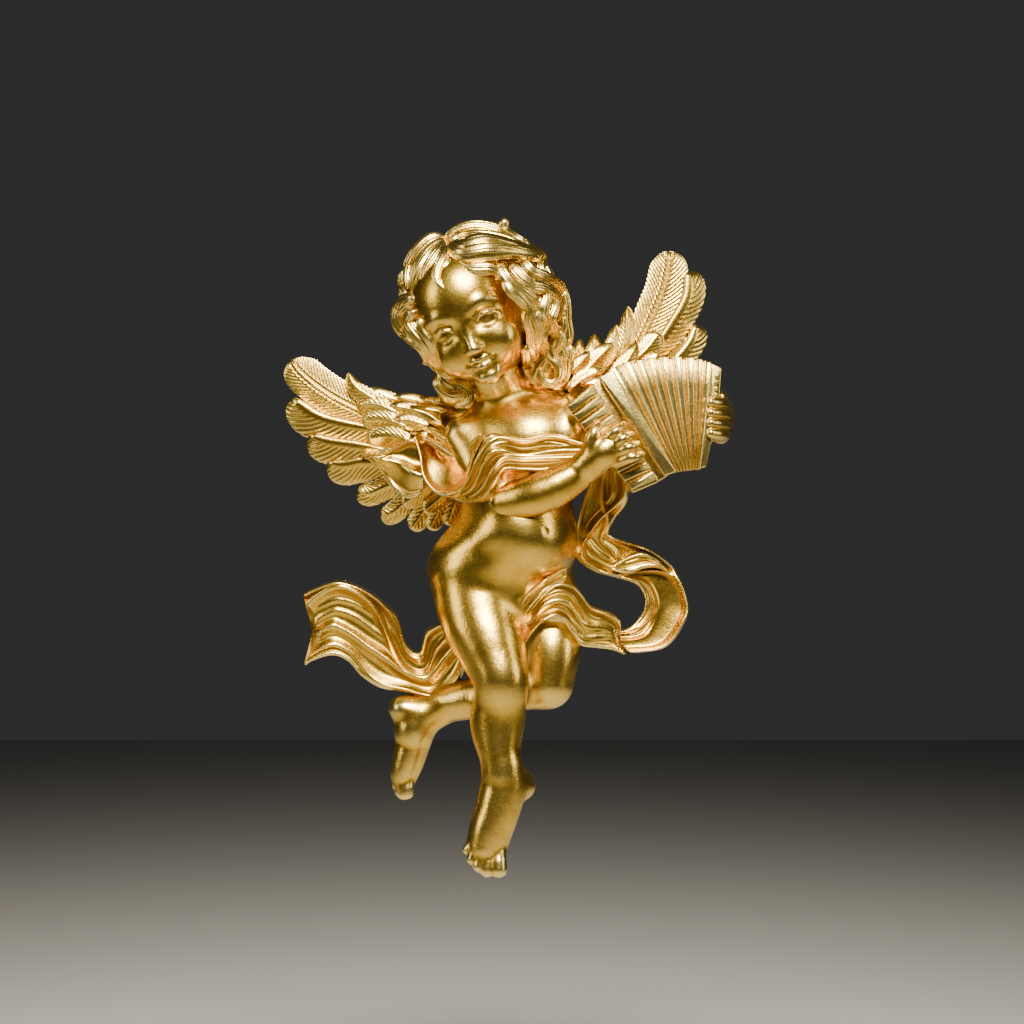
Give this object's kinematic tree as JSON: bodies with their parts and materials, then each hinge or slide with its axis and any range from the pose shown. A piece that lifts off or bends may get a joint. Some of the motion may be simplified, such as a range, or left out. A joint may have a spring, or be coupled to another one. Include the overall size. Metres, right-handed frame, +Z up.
{
  "type": "cherub wall plaque",
  "caption": "Gilded cast wall plaque of a flying winged child who plays an accordion, with a scarf that curls out at both sides and a flat back for the wall.",
  "frame": {"origin": "on the flat back of the trunk, where the plaque lies on the wall, near the middle of its height and width", "axes": "+Z up the plaque, +Y into the wall, +X to the viewer's right; the front faces -Y"},
  "size_m": [0.1933, 0.0754, 0.2805],
  "materials": {
    "gilding": "gold leaf over cast resin, satin, with a warmer brown tone left in the recesses"
  },
  "bodies": {
    "root": {"cherub_plaque": "gilding"}
  },
  "joints": []
}
